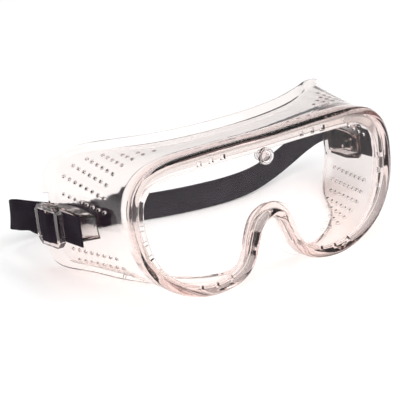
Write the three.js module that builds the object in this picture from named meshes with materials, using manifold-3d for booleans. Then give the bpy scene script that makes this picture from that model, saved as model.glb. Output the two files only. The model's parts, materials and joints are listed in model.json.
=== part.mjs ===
// Safety goggles of the direct-vent kind: a soft clear moulded frame body, a clear lens held in its
// groove by a brow stud, and an elastic headband that threads two buckles pivoting on side lugs.
// The goggles face -Y, the wearer's right is -X, and the body lies tipped back as it rests on a table.
import * as THREE from "three";
import { mergeVertices } from "three/addons/utils/BufferGeometryUtils.js";
import Module from "manifold-3d";

// Overall sizes, in millimetres and degrees.
const rimWidth = 160;
const rimHeight = 74.3;
const templeDepth = 73;
const cheekDepth = 15;
const templeSpread = 12.8;
const flangeRise = 12;
const lensBendRadius = 1000;
const restPitch = 12.5;

// Rim and groove.
const rimBand = 9;
const beadWidth = 4.4;
const beadHeight = 1.9;
const lipFront = 2.2;
const lensThickness = 2;
const lensClearance = 0.3;
const lensInset = 3.4;
const grooveFront = 3.8;
const backLipDepth = 2;
const backLipSetback = 1.2;
const rimBackMargin = 1;
const grooveBack = grooveFront + lensThickness + 2 * lensClearance;
const rimSideDepth = grooveBack + backLipDepth + rimBackMargin;

// The bead's section from its inner side to its outer one: inset as a share of its width, and depth
// as a share of its height.
const beadCurve = [
  [1, 1],
  [0.8, 0.25],
  [0.5, 0],
  [0.2, 0.25],
  [0, 1.1],
];

// Wall and face flange.
const wallThickness = 1.8;
const wallInset = 0.4;
const flangeWidth = 4.2;
const flangeSlope = 3.2;
const flangeThickness = 1.4;
const flangeCurlInset = 0.45;
const flangeCurlDepth = 0.6;

// Vent holes: rows that run back from the rim, one hole pitch apart.
const ventRadius = 0.85;
const ventPitch = 4.7;
const ventStart = 14;
const ventRowPitch = 6.55;
const ventSides = 5;
const upperRowStart = 49.5;
const lowerRowStart = 119;
const upperRowCounts = [1, 2, 3, 5, 6, 7, 8, 8];
const lowerRowCounts = [8, 8, 7, 6, 5, 3, 2, 1];

// Windows moulded through the front lip, as arc positions along the rim from the brow centre.
const windowWidth = 2.4;
const windowShare = 0.55;
const windowArcs = [24, 31, 38, 100, 109, 118, 158, 168, 178];

// Side lugs and their pivot buttons.
const lugHeight = 16.5;
const lugLevel = 0.56;
const lugOutset = 10.8;
const lugFrontSetback = 18;
const lugRearSetback = 4.5;
const pivotFromRear = 11;
const kneeFromPivot = 11.5;
const lugPlateThickness = 2.6;
const lugRootSink = 0.4;
const lugRootThickness = 0.9;
const lugRibThickness = 1.8;
const lugRibSink = 1;
const lugRibEndSetback = 4;
const lugRibWingSetback = 6;
const buttonRadius = 2.5;
const buttonHeadRadius = 3.3;
const buttonHeadThickness = 0.9;
const pivotClearance = 0.35;
const roundSides = 20;

const lugCentreHeight = rimHeight * lugLevel;
const lugFaceOut = rimWidth / 2 + lugOutset;
const lugFrontDepth = cheekDepth + lugFrontSetback;
const lugRearDepth = templeDepth - lugRearSetback;
const pivotDepth = lugRearDepth - pivotFromRear;
const lugKneeDepth = pivotDepth - kneeFromPivot;

// The gap in the flange beside each lug, where the headband passes.
const flangeGapReach = 4;
const flangeGapLength = 8;
const flangeGapBelow = 3.3;
const strapSwingRoom = 5.3;

// Headband.
const strapWidth = 15.5;
const strapThickness = 1.3;
const strapClearance = 0.35;
const buckleStandoff = 2.4;
const buckleThickness = 3.4;
const endBarLength = 3;
const middleBarLength = 7.6;
const middleBarThickness = 1.7;
const slotLength = 4.2;
const sideBarHeight = 2.3;
const buckleChamfer = 3.2;
const slotOverlap = 0.1;
const tailLength = 14;
const tableGap = 0.15;
const crossingShare = 0.56;
const shoulderShare = 0.96;
const leadLength = 3.4;
const leadLift = 2;

// Brow stud.
const studLipGap = 0.42;
const studSides = 24;
const studEdge = 0.4;
const studHeadRadius = 4.4;
const studHeadThickness = 2.1;
const studDimpleRadius = 2.6;
const studDimpleDepth = 0.8;
const studShaftRadius = 2.2;
const studFootRadius = 3;
const studFootThickness = 1;

// How finely the skinned shapes are divided, and how many route points the strap takes to turn from
// the lugs' tilt to upright.
const ringStepsPerStation = 2;
const arcStepsPerStation = 20;
const lensSteps = 24;
const ringStepsPerPoint = 2;
const pointsToTurn = 4;

// Stations down one half of the rim, from the brow centre to the nose arch: outline x and z as shares
// of the half width and height, inward angle, band share, then the flange edge as shares of the
// temple spread, of the way from cheek depth to temple depth, and of the flange rise.
const stations = [
  [0, 0.996, -90, 1.02, 0, 0.347, 0.33],
  [0.25, 1, -90, 1.04, 0, 0.366, 0.31],
  [0.5, 1, -92, 1.08, 0.02, 0.459, 0.31],
  [0.712, 0.988, -101, 1.08, 0, 0.593, 0.41],
  [0.862, 0.94, -124, 1.05, 0.05, 0.743, 0.65],
  [0.955, 0.845, -147, 1, 0.42, 0.85, 1],
  [0.995, 0.727, -167, 0.95, 0.66, 0.931, 0.97],
  [1, 0.592, 180, 0.92, 0.78, 0.979, 0.5],
  [0.985, 0.458, 170, 0.9, 0.91, 1, 0.2],
  [0.949, 0.336, 158, 0.85, 1.06, 1, -0.05],
  [0.894, 0.233, 143, 0.8, 1.04, 0.965, -0.2],
  [0.819, 0.145, 130, 0.72, 0.66, 0.74, -0.02],
  [0.7, 0.062, 115, 0.66, 0.5, 0.41, 0.15],
  [0.537, 0.005, 98, 0.62, 0.25, 0.155, 0.2],
  [0.375, 0.007, 82, 0.64, 0.1, 0.026, 0.09],
  [0.241, 0.054, 58, 0.72, 0, 0, -0.15],
  [0.157, 0.152, 33, 0.82, -0.15, 0, -0.25],
  [0.112, 0.269, 24, 0.88, -0.2, 0, -0.4],
  [0.07, 0.367, 45, 0.88, -0.12, 0, -0.5],
  [0, 0.404, 90, 0.88, 0, 0, -0.55],
];

const halfSpan = stations.length - 1;
const halfWidth = rimWidth / 2;

const wasm = await Module();
wasm.setup();

// A closed three.js geometry as a manifold solid.
function solidOf(geometry) {
  const bare = geometry.clone();
  bare.deleteAttribute("normal");
  bare.deleteAttribute("uv");
  const merged = mergeVertices(bare, 1e-4);
  return new wasm.Manifold(
    new wasm.Mesh({
      numProp: 3,
      vertProperties: new Float32Array(merged.attributes.position.array),
      triVerts: new Uint32Array(merged.index.array),
    }),
  );
}

// A manifold solid as a named mesh.
function meshOf(name, solid, material) {
  const made = solid.getMesh();
  const geometry = new THREE.BufferGeometry();
  geometry.setAttribute("position", new THREE.BufferAttribute(new Float32Array(made.vertProperties), 3));
  geometry.setIndex(new THREE.BufferAttribute(new Uint32Array(made.triVerts), 1));
  geometry.computeVertexNormals();
  const mesh = new THREE.Mesh(geometry, material);
  mesh.name = name;
  return mesh;
}

// Rings of points, each the same length, skinned into one closed body. Open lofts get flat end caps.
function loft(rings, closed) {
  const size = rings[0].length;
  const positions = rings.flat().flatMap((p) => [p.x, p.y, p.z]);
  const faces = [];
  const last = closed ? rings.length : rings.length - 1;
  for (let i = 0; i < last; i += 1) {
    const here = i * size;
    const next = ((i + 1) % rings.length) * size;
    for (let j = 0; j < size; j += 1) {
      const k = (j + 1) % size;
      faces.push(here + j, here + k, next + k, here + j, next + k, next + j);
    }
  }
  if (!closed) {
    const end = (rings.length - 1) * size;
    for (let j = 1; j < size - 1; j += 1) {
      faces.push(0, j + 1, j, end, end + j, end + j + 1);
    }
  }
  const geometry = new THREE.BufferGeometry();
  geometry.setAttribute("position", new THREE.Float32BufferAttribute(positions, 3));
  geometry.setIndex(faces);
  return geometry;
}

// One value of the station table at a place u, by a smooth curve through the stations. The table is
// mirrored past both ends, and an odd value changes sign there.
function stationValue(pick, u, odd) {
  const at = (i) => {
    const folded = i < 0 ? -i : i > halfSpan ? 2 * halfSpan - i : i;
    return (folded === i || !odd ? 1 : -1) * pick(stations[folded]);
  };
  const i = Math.min(Math.floor(u), halfSpan - 1);
  const t = u - i;
  const [a, b, c, d] = [at(i - 1), at(i), at(i + 1), at(i + 2)];
  return b + 0.5 * t * (c - a + t * (2 * a - 5 * b + 4 * c - d + t * (3 * (b - c) + d - a)));
}

// The rim outline, the inward direction and the flange edge at u, on the side given by sign.
function frameAt(u, sign) {
  const x = halfWidth * stationValue((s) => s[0], u, true);
  const z = rimHeight * stationValue((s) => s[1], u, false);
  const inX = stationValue((s) => Math.cos(THREE.MathUtils.degToRad(s[2])), u, true);
  const inZ = stationValue((s) => Math.sin(THREE.MathUtils.degToRad(s[2])), u, false);
  const length = Math.hypot(inX, inZ);
  const spread = templeSpread * stationValue((s) => s[4], u, true);
  const depth = cheekDepth + (templeDepth - cheekDepth) * stationValue((s) => s[5], u, false);
  return {
    x: sign * x,
    z,
    inX: (sign * inX) / length,
    inZ: inZ / length,
    band: rimBand * stationValue((s) => s[3], u, false),
    edge: new THREE.Vector3(sign * (x + spread), depth, z + flangeRise * stationValue((s) => s[6], u, false)),
  };
}

const bendAt = (x) => (x * x) / (2 * lensBendRadius);

function rimPoint(f, inset, y) {
  const x = f.x + inset * f.inX;
  return new THREE.Vector3(x, bendAt(x) + y, f.z + inset * f.inZ);
}

function flangePoint(f, inset, y) {
  return new THREE.Vector3(f.edge.x + inset * f.inX, f.edge.y + y, f.edge.z + inset * f.inZ);
}

// A point on the outer face of the wall, at a share of the way from the rim to the flange.
function wallPoint(f, share) {
  return rimPoint(f, wallInset, rimSideDepth).lerp(flangePoint(f, flangeWidth, -flangeSlope), share);
}

// The body's section at one place round the rim: lip, bead, side, wall, flange, and back to the groove.
function bodySection(f) {
  const inner = (share) => wallPoint(f, share).add(new THREE.Vector3(f.inX, 0, f.inZ).multiplyScalar(wallThickness));
  const grooveInset = lensInset - lensClearance;
  const slant = flangeThickness / Math.hypot(flangeWidth, flangeSlope);
  return [
    rimPoint(f, f.band, lipFront),
    ...beadCurve.map(([inset, depth]) => rimPoint(f, beadWidth * inset, beadHeight * depth)),
    rimPoint(f, 0, rimSideDepth - wallInset),
    wallPoint(f, 0),
    wallPoint(f, 0.5),
    wallPoint(f, 1),
    flangePoint(f, flangeWidth * flangeCurlInset, -flangeSlope * flangeCurlDepth),
    flangePoint(f, 0, 0),
    flangePoint(f, slant * flangeSlope, slant * flangeWidth),
    flangePoint(f, flangeWidth * flangeCurlDepth + flangeThickness, -flangeSlope * flangeCurlInset),
    inner(1),
    inner(0.5),
    inner(0),
    rimPoint(f, f.band - backLipSetback, grooveBack + backLipDepth),
    rimPoint(f, f.band - backLipSetback, grooveBack),
    rimPoint(f, grooveInset, grooveBack),
    rimPoint(f, grooveInset, grooveFront),
    rimPoint(f, f.band, grooveFront),
  ];
}

// Places all round the rim: down the +X half, then back up the -X half.
function roundRim() {
  const steps = halfSpan * ringStepsPerStation;
  const places = [];
  for (let i = 0; i < steps; i += 1) {
    places.push(frameAt(i / ringStepsPerStation, 1));
  }
  for (let i = steps; i > 0; i -= 1) {
    places.push(frameAt(i / ringStepsPerStation, -1));
  }
  return places;
}

// Arc length down the half rim, so that rows and windows are spaced evenly along it.
const arcSteps = halfSpan * arcStepsPerStation;
const arcTable = [0];
for (let i = 1; i <= arcSteps; i += 1) {
  const a = frameAt(((i - 1) * halfSpan) / arcSteps, 1);
  const b = frameAt((i * halfSpan) / arcSteps, 1);
  arcTable.push(arcTable[i - 1] + Math.hypot(b.x - a.x, b.z - a.z));
}

function placeAtArc(arc) {
  const i = arcTable.findIndex((length) => length >= arc);
  const share = (arc - arcTable[i - 1]) / (arcTable[i] - arcTable[i - 1]);
  return ((i - 1 + share) * halfSpan) / arcSteps;
}

// A cylinder centred at a point along a direction.
function rod(centre, direction, radius, length, sides) {
  const geometry = new THREE.CylinderGeometry(radius, radius, length, sides);
  const turn = new THREE.Quaternion().setFromUnitVectors(new THREE.Vector3(0, 1, 0), direction);
  geometry.applyQuaternion(turn);
  geometry.translate(centre.x, centre.y, centre.z);
  return solidOf(geometry);
}

// A box from its lowest to its highest corner.
function block(low, high) {
  const size = high.map((value, i) => value - low[i]);
  const geometry = new THREE.BoxGeometry(...size);
  geometry.translate(...high.map((value, i) => (value + low[i]) / 2));
  return solidOf(geometry);
}

// A flat outline of [across, up] points pushed along an axis, from one place to another.
function slab(points, axis, from, to) {
  const shape = new THREE.Shape(points.map(([a, b]) => new THREE.Vector2(a, b)));
  const geometry = new THREE.ExtrudeGeometry(shape, { depth: to - from, bevelEnabled: false });
  geometry.translate(0, 0, from);
  if (axis === "y") {
    geometry.applyMatrix4(new THREE.Matrix4().set(1, 0, 0, 0, 0, 0, 1, 0, 0, 1, 0, 0, 0, 0, 0, 1));
    const index = geometry.index ? geometry : mergeVertices(geometry);
    const order = index.index.array;
    for (let i = 0; i < order.length; i += 3) {
      [order[i + 1], order[i + 2]] = [order[i + 2], order[i + 1]];
    }
    return solidOf(index);
  }
  if (axis === "x") {
    geometry.applyMatrix4(new THREE.Matrix4().set(0, 0, 1, 0, 1, 0, 0, 0, 0, 1, 0, 0, 0, 0, 0, 1));
  }
  return solidOf(geometry);
}

const joined = (solids) => solids.reduce((all, next) => all.add(next));

// The vent holes of one row, drilled square to the wall.
function ventRow(arc, count, sign) {
  const u = placeAtArc(arc);
  const f = frameAt(u, sign);
  const start = wallPoint(f, 0);
  const end = wallPoint(f, 1);
  const beside = wallPoint(frameAt(u + 0.05, sign), 0.5).sub(wallPoint(frameAt(u - 0.05, sign), 0.5));
  const square = end.clone().sub(start).cross(beside).normalize();
  const holes = [];
  for (let i = 0; i < count; i += 1) {
    const share = (ventStart + i * ventPitch) / start.distanceTo(end);
    holes.push(rod(wallPoint(f, share), square, ventRadius, 4 * wallThickness, ventSides));
  }
  return holes;
}

// One window through the front lip, just inside the bead.
function lipWindow(arc, sign) {
  const f = frameAt(placeAtArc(arc), sign);
  const length = (f.band - beadWidth) * windowShare;
  const geometry = new THREE.BoxGeometry(windowWidth, grooveFront, length);
  geometry.applyMatrix4(new THREE.Matrix4().set(f.inZ, 0, f.inX, 0, 0, 1, 0, 0, -f.inX, 0, f.inZ, 0, 0, 0, 0, 1));
  const centre = rimPoint(f, (f.band + beadWidth) / 2, grooveFront / 2 + lensClearance);
  geometry.translate(centre.x, centre.y, centre.z);
  return solidOf(geometry);
}

const lugLow = lugCentreHeight - lugHeight / 2;
const lugHigh = lugCentreHeight + lugHeight / 2;

// A side lug: a strip that lifts off the wing, runs level past the pivot and carries the button.
function lug(sign) {
  const wing = (depth) => {
    const f = frameAt(placeAtArc(lugArc), 1);
    const start = wallPoint(f, 0);
    const end = wallPoint(f, 1);
    return start.lerp(end, (depth - start.y) / (end.y - start.y)).x;
  };
  const back = lugFaceOut - lugPlateThickness;
  const outline = [
    [wing(lugFrontDepth) - lugRootSink, lugFrontDepth],
    [lugFaceOut, lugKneeDepth],
    [lugFaceOut, lugRearDepth],
    [back, lugRearDepth],
    [back, lugKneeDepth + lugRootThickness],
    [wing(lugFrontDepth) - lugRootSink - lugRootThickness, lugFrontDepth + lugRootThickness],
  ];
  const strip = slab(sign > 0 ? outline : outline.map(([x, y]) => [-x, y]).reverse(), "z", lugLow, lugHigh);
  const ribOutline = [
    [wing(lugFrontDepth) - lugRibSink, lugFrontDepth],
    [lugFaceOut - lugRootSink, lugKneeDepth],
    [lugFaceOut - lugRootSink, lugRearDepth - lugRibEndSetback],
    [wing(lugRearDepth - lugRibWingSetback) - lugRibSink, lugRearDepth - lugRibWingSetback],
  ];
  const ribShape = sign > 0 ? ribOutline : ribOutline.map(([x, y]) => [-x, y]).reverse();
  const ribs = [lugLow, lugHigh - lugRibThickness].map((z) => slab(ribShape, "z", z, z + lugRibThickness));
  const headFrom = buckleStandoff + middleBarThickness + pivotClearance;
  const out = new THREE.Vector3(sign, 0, 0);
  const button = (from, to, radius) =>
    rod(
      new THREE.Vector3(sign * (lugFaceOut + (from + to) / 2), pivotDepth, lugCentreHeight),
      out,
      radius,
      to - from,
      roundSides,
    );
  return joined([
    strip,
    ...ribs,
    button(-lugPlateThickness / 2, headFrom + buttonHeadThickness / 2, buttonRadius),
    button(headFrom, headFrom + buttonHeadThickness, buttonHeadRadius),
  ]);
}

// Where along the rim the lugs sit: the arc whose flange edge comes down to the lug's centre.
let lugArc = halfWidth;
while (frameAt(placeAtArc(lugArc + 1), 1).edge.z > lugCentreHeight + lugRibThickness) {
  lugArc += 1;
}

function makeBody() {
  let body = solidOf(loft(roundRim().reverse().map(bodySection), true));
  const sides = [-1, 1];
  const gaps = sides.map((sign) => {
    const xs = [sign * (lugFaceOut - flangeGapReach), sign * (lugFaceOut + templeSpread)].sort((a, b) => a - b);
    return block(
      [xs[0], lugRearDepth - flangeGapLength, lugCentreHeight - strapWidth / 2 - flangeGapBelow],
      [xs[1], templeDepth + flangeWidth, lugCentreHeight + strapWidth / 2 + strapSwingRoom],
    );
  });
  body = body.subtract(joined(gaps));
  body = body.add(joined(sides.map(lug)));
  const vents = sides.flatMap((sign) => [
    ...upperRowCounts.flatMap((count, i) => ventRow(upperRowStart + i * ventRowPitch, count, sign)),
    ...lowerRowCounts.flatMap((count, i) => ventRow(lowerRowStart + i * ventRowPitch, count, sign)),
  ]);
  const windows = sides.flatMap((sign) => windowArcs.map((arc) => lipWindow(arc, sign)));
  return body.subtract(joined(vents)).subtract(joined(windows));
}

// The stud's shaft passes just below the lip at the brow.
const [, browHeight, , browBand] = stations[0];
const studHeight = browHeight * rimHeight - browBand * rimBand - studShaftRadius - studLipGap;
const lensFront = grooveFront + lensClearance;
const lensBack = lensFront + lensThickness;

function makeLens() {
  const reach = halfWidth;
  const front = [];
  const back = [];
  for (let i = 0; i <= lensSteps; i += 1) {
    const x = -reach + (2 * reach * i) / lensSteps;
    front.push([x, bendAt(x) + lensFront]);
    back.unshift([x, bendAt(x) + lensBack]);
  }
  const sheet = slab([...front, ...back], "z", -rimBand, rimHeight + rimBand);
  const outline = roundRim().map((f) => [f.x + lensInset * f.inX, f.z + lensInset * f.inZ]);
  const blank = slab(outline.reverse(), "y", -rimBand, rimBand + bendAt(reach) + lensBack);
  const hole = rod(
    new THREE.Vector3(0, lensFront, studHeight),
    new THREE.Vector3(0, 1, 0),
    studShaftRadius + lensClearance,
    4 * lensThickness,
    roundSides,
  );
  return sheet.intersect(blank).subtract(hole);
}

// The brow stud: a dimpled head before the lip, a shaft through the lens and a foot behind it.
function makeStud() {
  const headBack = lipFront - lensClearance;
  const headFront = headBack - studHeadThickness;
  const footFront = lensBack + lensClearance;
  const profile = [
    [0, headFront + studDimpleDepth],
    [studDimpleRadius, headFront + studDimpleDepth],
    [studDimpleRadius + studEdge, headFront],
    [studHeadRadius - studEdge, headFront],
    [studHeadRadius, headFront + studEdge],
    [studHeadRadius, headBack],
    [studShaftRadius, headBack],
    [studShaftRadius, footFront],
    [studFootRadius, footFront],
    [studFootRadius, footFront + studFootThickness],
    [0, footFront + studFootThickness],
  ];
  const geometry = new THREE.LatheGeometry(profile.map(([r, y]) => new THREE.Vector2(r, y)), studSides);
  geometry.translate(0, 0, studHeight);
  return solidOf(geometry);
}

// A buckle: a chamfered ring with a wide middle bar whose round eye turns on the lug's button.
function makeBuckle(sign) {
  const halfSlot = strapWidth / 2 + strapClearance;
  const halfHeight = halfSlot + sideBarHeight;
  const halfLength = middleBarLength / 2 + slotLength + endBarLength;
  const near = lugFaceOut + buckleStandoff;
  const cut = buckleChamfer;
  const ring = [
    [-halfLength + cut, -halfHeight],
    [halfLength - cut, -halfHeight],
    [halfLength, -halfHeight + cut],
    [halfLength, halfHeight - cut],
    [halfLength - cut, halfHeight],
    [-halfLength + cut, halfHeight],
    [-halfLength, halfHeight - cut],
    [-halfLength, -halfHeight + cut],
  ].map(([y, z]) => [pivotDepth + y, lugCentreHeight + z]);
  const between = (a, b) => [sign * a, sign * b].sort((p, q) => p - q);
  const [low, high] = between(near, near + buckleThickness);
  const [eyeLow, eyeHigh] = between(near - buckleThickness, near + 2 * buckleThickness);
  const [coverLow, coverHigh] = between(near + middleBarThickness, near + 2 * buckleThickness);
  const bottom = lugCentreHeight - halfSlot;
  const top = lugCentreHeight + halfSlot;
  const slotFrom = middleBarLength / 2;
  const cuts = [-1, 1].map((end) => {
    const depths = [pivotDepth + end * slotFrom, pivotDepth + end * (slotFrom + slotLength)].sort((a, b) => a - b);
    return block([eyeLow, depths[0], bottom], [eyeHigh, depths[1], top]);
  });
  const overBar = block(
    [coverLow, pivotDepth - slotFrom - slotOverlap, bottom],
    [coverHigh, pivotDepth + slotFrom + slotOverlap, top],
  );
  const eye = rod(
    new THREE.Vector3(sign * near, pivotDepth, lugCentreHeight),
    new THREE.Vector3(1, 0, 0),
    buttonRadius + pivotClearance,
    4 * buckleThickness,
    roundSides,
  );
  return slab(ring, "x", low, high).subtract(joined([...cuts, overBar, eye]));
}

// The strap's route. Near a buckle it is [behind the pivot, out from the lug face], level with the
// pivot. Between the buckles it is [x as a share of the strap's reach at the lugs, behind the pivot,
// share of the way up from lying on the table to the pivot], all measured level with the table.
const pitch = THREE.MathUtils.degToRad(restPitch);
const buckleHalfLength = middleBarLength / 2 + slotLength + endBarLength;
const underBar = buckleStandoff / 2;
const overBarOut = buckleStandoff + middleBarThickness + 2 * pivotClearance + buttonHeadThickness + strapThickness;
const slotMiddle = (middleBarLength + slotLength) / 2;
const weave = [
  [-buckleHalfLength - tailLength, underBar],
  [-buckleHalfLength - tailLength / 2, underBar],
  [-buckleHalfLength, underBar],
  [-buckleHalfLength + endBarLength, underBar],
  [-slotMiddle, overBarOut * crossingShare],
  [-middleBarLength / 2, overBarOut * shoulderShare],
  [0, overBarOut],
  [middleBarLength / 2, overBarOut * shoulderShare],
  [slotMiddle, overBarOut * crossingShare],
  [buckleHalfLength - endBarLength, underBar],
  [buckleHalfLength, underBar],
  [buckleHalfLength + leadLength, underBar + leadLift],
];
const beltRoute = [
  [-1.041, 19.4, 0.876],
  [-1.065, 27.4, 0.773],
  [-1.054, 35.5, 0.644],
  [-0.989, 41.1, 0.479],
  [-0.848, 42.6, 0.252],
  [-0.674, 40.1, 0.067],
  [-0.478, 35.6, 0],
  [-0.239, 29.1, 0],
  [0.033, 23.6, 0],
  [0.304, 21.3, 0],
  [0.489, 22.2, 0.031],
  [0.652, 24.1, 0.16],
  [0.804, 26.2, 0.355],
  [0.935, 27.6, 0.561],
  [1.027, 26.8, 0.716],
  [1.082, 22.9, 0.819],
  [1.065, 17.4, 0.886],
];

// A strap section at a point: a thin rectangle, its width along up and its thickness across the run.
function strapRing(point, run, up) {
  const across = new THREE.Vector3().crossVectors(run, up).normalize().multiplyScalar(strapThickness / 2);
  const wide = up.clone().multiplyScalar(strapWidth / 2);
  return [
    point.clone().add(wide).add(across),
    point.clone().add(wide).sub(across),
    point.clone().sub(wide).sub(across),
    point.clone().sub(wide).add(across),
  ];
}

function makeStrap(tableLevel) {
  const nearBuckle = (sign) =>
    weave.map(([behind, out]) => new THREE.Vector3(sign * (lugFaceOut + out), pivotDepth + behind, lugCentreHeight));
  const across = new THREE.Vector3(1, 0, 0);
  const pivot = new THREE.Vector3(0, pivotDepth, lugCentreHeight).applyAxisAngle(across, -pitch);
  const lying = tableLevel + strapWidth / 2 + tableGap;
  const onTable = beltRoute.map(([share, behind, climb]) => {
    const height = THREE.MathUtils.lerp(lying, pivot.z, climb);
    const point = new THREE.Vector3(share * (lugFaceOut + underBar), pivot.y + behind, height);
    return point.applyAxisAngle(across, pitch);
  });
  const points = [...nearBuckle(-1), ...onTable, ...nearBuckle(1).reverse()];
  const curve = new THREE.CatmullRomCurve3(points, false, "centripetal");
  const bodyUp = new THREE.Vector3(0, 0, 1);
  const tableUp = bodyUp.clone().applyAxisAngle(across, pitch);
  const ends = weave.length - 1;
  const rings = [];
  const steps = (points.length - 1) * ringStepsPerPoint;
  for (let i = 0; i <= steps; i += 1) {
    const t = i / steps;
    const index = t * (points.length - 1);
    const inFromEnds = Math.min(index - ends, points.length - 1 - ends - index) / pointsToTurn;
    const share = THREE.MathUtils.smoothstep(inFromEnds, 0, 1);
    const run = curve.getTangent(t);
    const up = bodyUp.clone().lerp(tableUp, share);
    up.addScaledVector(run, -up.dot(run)).normalize();
    rings.push(strapRing(curve.getPoint(t), run, up));
  }
  return solidOf(loft(rings.reverse(), false));
}

const softClear = new THREE.MeshStandardMaterial({
  color: 0xf0dfd8, roughness: 0.15, metalness: 0, transparent: true, opacity: 0.45,
});
const hardClear = new THREE.MeshStandardMaterial({
  color: 0xf6f8f8, roughness: 0.04, metalness: 0, transparent: true, opacity: 0.2,
});
const buckleClear = new THREE.MeshStandardMaterial({
  color: 0xe9dcd6, roughness: 0.12, metalness: 0, transparent: true, opacity: 0.5,
});
const studClear = new THREE.MeshStandardMaterial({
  color: 0xf2e6df, roughness: 0.1, metalness: 0, transparent: true, opacity: 0.5,
});
const blackElastic = new THREE.MeshStandardMaterial({ color: 0x17151a, roughness: 0.9, metalness: 0 });

// Each node's lowest point once the goggles are tipped back.
function lowestPoint(mesh) {
  const stand = new THREE.Group();
  stand.rotation.x = -pitch;
  stand.add(mesh.clone());
  stand.updateMatrixWorld(true);
  return new THREE.Box3().setFromObject(stand, true).min.z;
}

const frameBody = meshOf("frame_body", makeBody(), softClear);
const tipped = new THREE.Group();
tipped.add(
  frameBody,
  meshOf("lens", makeLens(), hardClear),
  meshOf("brow_stud", makeStud(), studClear),
  meshOf("right_buckle", makeBuckle(-1), buckleClear),
  meshOf("left_buckle", makeBuckle(1), buckleClear.clone()),
  meshOf("strap", makeStrap(lowestPoint(frameBody)), blackElastic),
);
tipped.rotation.x = -pitch;

// The origin is the middle of the footprint, on the table.
const goggles = new THREE.Group();
goggles.add(tipped);
goggles.updateMatrixWorld(true);
const bounds = new THREE.Box3().setFromObject(goggles, true);
const middle = bounds.getCenter(new THREE.Vector3());
tipped.position.set(-middle.x, -middle.y, -bounds.min.z);

export default goggles;
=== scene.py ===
import json
import math

import bmesh
import bpy
from mathutils import Matrix, Vector


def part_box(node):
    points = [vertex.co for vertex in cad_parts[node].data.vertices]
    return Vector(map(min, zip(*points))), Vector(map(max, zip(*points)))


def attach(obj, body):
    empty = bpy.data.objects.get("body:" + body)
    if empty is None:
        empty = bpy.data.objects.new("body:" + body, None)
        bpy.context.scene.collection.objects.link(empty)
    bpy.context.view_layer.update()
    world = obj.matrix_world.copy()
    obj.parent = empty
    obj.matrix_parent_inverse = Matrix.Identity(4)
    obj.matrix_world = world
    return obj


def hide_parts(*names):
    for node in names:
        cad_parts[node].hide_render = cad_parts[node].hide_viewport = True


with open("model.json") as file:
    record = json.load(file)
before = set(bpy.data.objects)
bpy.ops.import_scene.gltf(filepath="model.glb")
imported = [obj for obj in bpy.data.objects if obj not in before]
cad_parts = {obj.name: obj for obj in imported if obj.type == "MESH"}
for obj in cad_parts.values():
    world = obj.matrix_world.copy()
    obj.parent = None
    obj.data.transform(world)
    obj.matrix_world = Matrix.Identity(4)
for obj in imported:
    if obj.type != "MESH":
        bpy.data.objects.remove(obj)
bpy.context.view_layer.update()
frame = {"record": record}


# ---------------------------------------------------------------------------------------------
# Studio: a plain white table under one broad overhead softbox and a lower one at the wearer's
# right, and a camera with a long lens that looks down on the goggles from the front and right.
# ---------------------------------------------------------------------------------------------
scene = bpy.context.scene
scene.view_settings.view_transform = "Standard"
scene.view_settings.look = "None"

body_low, body_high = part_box("frame_body")
aim_aside = -0.0097
aim_behind = 0.0565
aim_above = 0.0237
look_at = Vector((
    (body_low.x + body_high.x) / 2 + aim_aside, body_low.y + aim_behind, body_low.z + aim_above,
))
camera_azimuth = math.radians(-34.735)
camera_elevation = math.radians(26.49)
camera_distance = 1.069


def from_the_table(azimuth, elevation, distance):
    """A point at an azimuth, an elevation and a distance from where the camera looks."""
    flat = math.cos(elevation)
    direction = Vector((math.sin(azimuth) * flat, -math.cos(azimuth) * flat, math.sin(elevation)))
    return look_at + direction * distance


camera_data = bpy.data.cameras.new("camera")
camera_data.lens = 186.4
camera_data.sensor_width = 36
camera = bpy.data.objects.new("camera", camera_data)
camera.location = from_the_table(camera_azimuth, camera_elevation, camera_distance)
camera.rotation_euler = (look_at - camera.location).to_track_quat("-Z", "Y").to_euler()
scene.collection.objects.link(camera)
scene.camera = camera


def softbox(name, azimuth, elevation, distance, width, power):
    """A square area light that faces the goggles."""
    data = bpy.data.lights.new(name, "AREA")
    data.size = width
    data.energy = power
    light = bpy.data.objects.new(name, data)
    light.location = from_the_table(math.radians(azimuth), math.radians(elevation), distance)
    light.rotation_euler = (look_at - light.location).to_track_quat("-Z", "Y").to_euler()
    scene.collection.objects.link(light)


softbox("overhead_softbox", 20, 78, 1.4, 1.5, 15)
softbox("front_softbox", -70, 38, 1.5, 0.9, 4)

world = bpy.data.worlds.new("studio")
world.use_nodes = True
scene.world = world
sky = world.node_tree
for node in list(sky.nodes):
    sky.nodes.remove(node)
where = sky.nodes.new("ShaderNodeTexCoord")
parts = sky.nodes.new("ShaderNodeSeparateXYZ")
ramp = sky.nodes.new("ShaderNodeValToRGB")
glow = sky.nodes.new("ShaderNodeBackground")
out = sky.nodes.new("ShaderNodeOutputWorld")
sky.links.new(where.outputs["Generated"], parts.inputs[0])
sky.links.new(parts.outputs["Z"], ramp.inputs[0])
sky.links.new(ramp.outputs[0], glow.inputs["Color"])
sky.links.new(glow.outputs[0], out.inputs[0])
ramp.color_ramp.elements[0].position = 0.0
ramp.color_ramp.elements[0].color = (0.8, 0.8, 0.81, 1)
ramp.color_ramp.elements[1].position = 0.6
ramp.color_ramp.elements[1].color = (1, 1, 1, 1)
glow.inputs["Strength"].default_value = 0.58

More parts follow.
